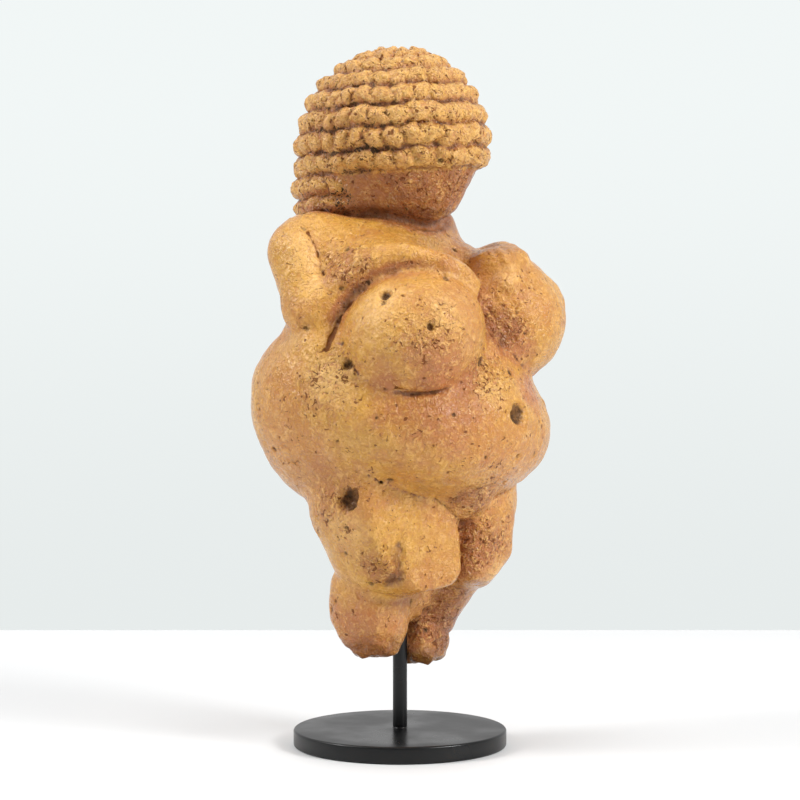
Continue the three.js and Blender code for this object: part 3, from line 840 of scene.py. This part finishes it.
def toned_resin():
    """Cast resin, toned and varnished by the values that are kept at each point of the mesh."""
    material = bpy.data.materials.new("toned_resin")
    material.use_nodes = True
    tree = material.node_tree
    shader = tree.nodes["Principled BSDF"]
    place = add_node(tree, "ShaderNodeTexCoord").outputs["Object"]

    def kept(name):
        return add_node(tree, "ShaderNodeAttribute", attribute_name=name).outputs["Fac"]

    broad = add_noise(tree, place, 20 * MM, detail=3)
    cloud = add_noise(tree, place, 6 * MM, detail=5, roughness=0.6)
    middle = add_noise(tree, place, 2.6 * MM, detail=4, roughness=0.6)
    fine = add_noise(tree, place, 1.1 * MM, detail=3, roughness=0.65, warp=0.6)
    grain = add_noise(tree, place, 0.45 * MM, detail=2, roughness=0.6)

    # The cast skin, in millimetres: dents and grain, deeper where it is rough, with strokes, bubbles and
    # the sharp bottoms of the scored lines.
    rough_skin = kept("roughened")
    dent_depth = add_math(tree, "MULTIPLY_ADD", rough_skin, 0.08, 0.07)
    dents = add_math(tree, "MULTIPLY", add_range(tree, fine, 0.34, 0.66, -1, 1), dent_depth)
    grain_depth = add_math(tree, "MULTIPLY_ADD", rough_skin, 0.15, 0.2)
    skin = add_math(tree, "MULTIPLY_ADD", grain, grain_depth, dents)
    strokes = add_noise(tree, place, 1.15 * MM, detail=2, warp=1.3)
    strokes = add_math(tree, "MULTIPLY_ADD", rough_skin, -0.095, strokes)
    stroke = add_range(tree, strokes, 0.33, 0.28)
    bend = add_node(tree, "ShaderNodeTexNoise", {"Vector": place, "Scale": 1 / BEND_SIZE})
    bend = add_vector(tree, "SCALE", {0: bend.outputs["Color"], "Scale": BEND_REACH})
    bent = add_vector(tree, "ADD", {0: place, 1: bend})
    cells = add_node(tree, "ShaderNodeTexVoronoi", {"Vector": bent, "Scale": 1 / BUBBLE_SPACING})
    pick = add_node(tree, "ShaderNodeSeparateColor", {"Color": cells.outputs["Color"]}).outputs
    crowded = add_range(tree, cloud, 0.3, 0.55, 0.3, 1)
    size = add_math(tree, "MULTIPLY", add_range(tree, pick["Red"], 0.35, 1, 0, 0.2), crowded)
    bubble = add_range(tree, add_math(tree, "SUBTRACT", cells.outputs["Distance"], size), 0.02, -0.05)
    height = add_math(tree, "MULTIPLY_ADD", bubble, -BUBBLE_DEPTH, skin)
    height = add_math(tree, "MULTIPLY_ADD", stroke, -STROKE_DEPTH, height)
    score = add_range(tree, kept("scored"), 0.6, 0.76)
    height = add_math(tree, "MULTIPLY_ADD", score, -SHARP_SCORE_DEPTH, height)

    # Ochre with honey patches, rubbed paler and painted with highlights where it stands out, washed
    # red-brown and painted with shade where it lies low.
    colour = add_mix(tree, add_range(tree, broad, 0.42, 0.6), OCHRE, HONEY)
    colour = add_mix(tree, add_range(tree, cloud, 0.5, 0.72, 0, 0.6), colour, WASH_AND_SHADE)
    worn = add_math(tree, "MULTIPLY", add_range(tree, middle, 0.5, 0.68), 0.3)
    colour = add_mix(tree, add_math(tree, "MAXIMUM", worn, kept("rubbed_and_highlit")), colour, RUBBED_AND_HIGHLIGHT)
    uneven = add_math(tree, "MULTIPLY_ADD", middle, 0.9, -0.45)
    washed_and_shaded = add_math(tree, "ADD", add_math(tree, "MAXIMUM", kept("hollow_shade"), kept("flushed_and_shaded")), uneven)
    colour = add_mix(tree, add_range(tree, washed_and_shaded, 0.05, 0.95, 0, 0.9), colour, WASH_AND_SHADE)

    # The wash stays in the low side of every dent, and the high side is rubbed.
    speckle = add_math(tree, "MULTIPLY", add_math(tree, "ADD", fine, grain), 0.5)
    spread = add_math(tree, "MULTIPLY_ADD", rough_skin, 0.35, 0.42)
    low_side = add_math(tree, "MULTIPLY", add_range(tree, speckle, 0.52, 0.38), spread)
    high_side = add_math(tree, "MULTIPLY", add_range(tree, speckle, 0.5, 0.62), spread)
    colour = add_mix(tree, low_side, colour, WASH_AND_SHADE)
    colour = add_mix(tree, high_side, colour, RUBBED_AND_HIGHLIGHT)
    # Browning to earth brown, much of it painted shade.
    browned_and_shaded = add_math(tree, "ADD", kept("browned_and_shaded"), uneven)
    colour = add_mix(tree, add_range(tree, browned_and_shaded, 0.2, 0.95, 0, 0.85), colour, EARTH)
    marks = add_math(tree, "MAXIMUM", add_math(tree, "MAXIMUM", stroke, bubble), score)
    colour = add_mix(tree, add_math(tree, "MULTIPLY", marks, 0.85), colour, MARKED)

    # Grime: specks in the soiled side of the hair, broken dark lines of painted shade in the creases, and
    # the pits.
    dust = add_math(tree, "MULTIPLY_ADD", add_math(tree, "MULTIPLY", fine, grain), 3.2, -0.8)
    lodged = add_math(tree, "MULTIPLY_ADD", kept("groove"), 0.5, 0.3)
    lodged = add_math(tree, "ADD", add_math(tree, "MULTIPLY", lodged, kept("soiled_and_shaded")), dust)
    soil = add_math(tree, "MULTIPLY", add_range(tree, lodged, 0.54, 0.82), kept("soiled_and_shaded"))
    # Painted shade: broken dark lines along the creases.
    crease_shade = add_math(tree, "MULTIPLY", kept("crevice_shade"), add_range(tree, middle, 0.4, 0.62, 0.05, 1))
    dark = add_math(tree, "MAXIMUM", soil, add_range(tree, crease_shade, 0.4, 1, 0, 0.4))
    filled = add_range(tree, fine, 0.35, 0.6, 0.95, 0.5)
    hole = add_math(tree, "MULTIPLY", add_range(tree, kept("pit"), 0.25, 0.85), filled)
    dark = add_math(tree, "MAXIMUM", dark, hole)
    tree.links.new(add_mix(tree, dark, colour, GRIME_AND_SHADE), shader.inputs["Base Color"])
    dull = add_math(tree, "MAXIMUM", dark, marks)

    # The varnish is duller in some patches than in others, and hardly any lies on the dirt.
    tree.links.new(add_range(tree, dull, 0, 1, 0.5, 0.08), shader.inputs["Specular IOR Level"])
    tree.links.new(add_range(tree, cloud, 0.3, 0.7, 0.18, 0.32), shader.inputs["Roughness"])
    shader.inputs["IOR"].default_value = RESIN_IOR
    tree.links.new(add_bump(tree, height, MM), shader.inputs["Normal"])
    tree.links.new(add_bump(tree, height, COAT_RELIEF), shader.inputs["Coat Normal"])
    tree.links.new(add_range(tree, dull, 0, 1, 0.35, 0.03), shader.inputs["Coat Weight"])
    shader.inputs["Coat Roughness"].default_value = COAT_ROUGHNESS
    shader.inputs["Coat IOR"].default_value = COAT_IOR
    return material


placed = points * UNIT + (0, 0, LIFT)
figurine = new_piece("figurine_cast", placed, faces, toned_resin(), "figurine")
kept_values = {
    "hollow_shade": hollow_shade,
    "crevice_shade": crevice_shade,
    "rubbed_and_highlit": rubbed_and_highlit,
    "pit": pit,
    "groove": groove,
    "scored": scored,
    "soiled_and_shaded": soiled_and_shaded,
    "flushed_and_shaded": flushed_and_shaded,
    "browned_and_shaded": browned_and_shaded,
    "roughened": roughened,
}
for name, values in kept_values.items():
    layer = figurine.data.attributes.new(name, "FLOAT", "POINT")
    layer.data.foreach_set("value", values.astype(np.float32))

# Table and light
# A white table top that ends behind the figure, and a pale grey wall far beyond it. Square soft lamps
# stand to the right, to the left and above. The wall's side of the room gives light too, and the camera's
# side is dim.
TABLE_WHITE = (0.765, 0.775, 0.78, 1)
TABLE_ROUGHNESS = 0.6
TABLE_BEHIND = 164.5 * MM
TABLE_BEFORE = 700 * MM
TABLE_HALF_WIDTH = 700 * MM
WALL_GREY = (0.83, 0.87, 0.865, 1)
WALL_LOW = 0.965
WALL_HIGH = 1.065
ROOM_DIM = 0.12
ROOM_LIT = 0.8
LAMP_AIM = 70 * MM

table_corners = []
for aside, before in ((-1, TABLE_BEFORE), (1, TABLE_BEFORE), (1, -TABLE_BEHIND), (-1, -TABLE_BEHIND)):
    table_corners.append(to_right * aside * TABLE_HALF_WIDTH + to_camera * before)
table_mesh = bpy.data.meshes.new("table")
table_mesh.from_pydata(table_corners, [], [(0, 1, 2, 3)])
table = bpy.data.objects.new("table", table_mesh)
bpy.context.scene.collection.objects.link(table)
table_white = bpy.data.materials.new("table_white")
table_white.use_nodes = True
table_shader = table_white.node_tree.nodes["Principled BSDF"]
table_shader.inputs["Base Color"].default_value = TABLE_WHITE
table_shader.inputs["Roughness"].default_value = TABLE_ROUGHNESS
table_mesh.materials.append(table_white)

world = bpy.data.worlds.new("wall")
world.use_nodes = True
bpy.context.scene.world = world
sky = world.node_tree
ways = add_node(sky, "ShaderNodeTexCoord").outputs["Generated"]
upwards = add_node(sky, "ShaderNodeSeparateXYZ", {0: ways}).outputs["Z"]
# Painted light: the wall is made brighter towards the top.
wall_painted_light = add_range(sky, upwards, -0.12, 0.17, WALL_LOW, WALL_HIGH)
seen = add_node(sky, "ShaderNodeBackground", {"Color": WALL_GREY, "Strength": wall_painted_light})
towards_wall = add_vector(sky, "DOT_PRODUCT", {0: ways, 1: -to_camera}, "Value")
lit_room = add_range(sky, towards_wall, -0.4, 0.7, ROOM_DIM, ROOM_LIT)
felt = add_node(sky, "ShaderNodeBackground", {"Color": (1, 1, 1, 1), "Strength": lit_room})
is_seen = add_node(sky, "ShaderNodeLightPath").outputs["Is Camera Ray"]
both = add_node(sky, "ShaderNodeMixShader", {0: is_seen, 1: felt.outputs[0], 2: seen.outputs[0]})
sky.links.new(both.outputs[0], sky.nodes["World Output"].inputs["Surface"])


def softbox(name, aside, before, up, size, power):
    """A square lamp placed as seen from the camera, in metres, and turned to the figure's middle."""
    lamp = bpy.data.lights.new(name, "AREA")
    lamp.shape = "SQUARE"
    lamp.size = size
    lamp.energy = power
    box = bpy.data.objects.new(name, lamp)
    box.location = to_right * aside + to_camera * before + Vector((0, 0, up))
    box.rotation_mode = "QUATERNION"
    box.rotation_quaternion = (box.location - Vector((0, 0, LAMP_AIM))).to_track_quat("Z", "Y")
    bpy.context.scene.collection.objects.link(box)


softbox("lamp_right", aside=0.48, before=0.3, up=0.38, size=0.22, power=3.7)
softbox("lamp_left", aside=-0.5, before=0.1, up=0.44, size=0.22, power=2.6)
softbox("lamp_above", aside=0.0, before=0.1, up=0.75, size=0.4, power=2.3)
bpy.context.scene.view_settings.view_transform = "Standard"
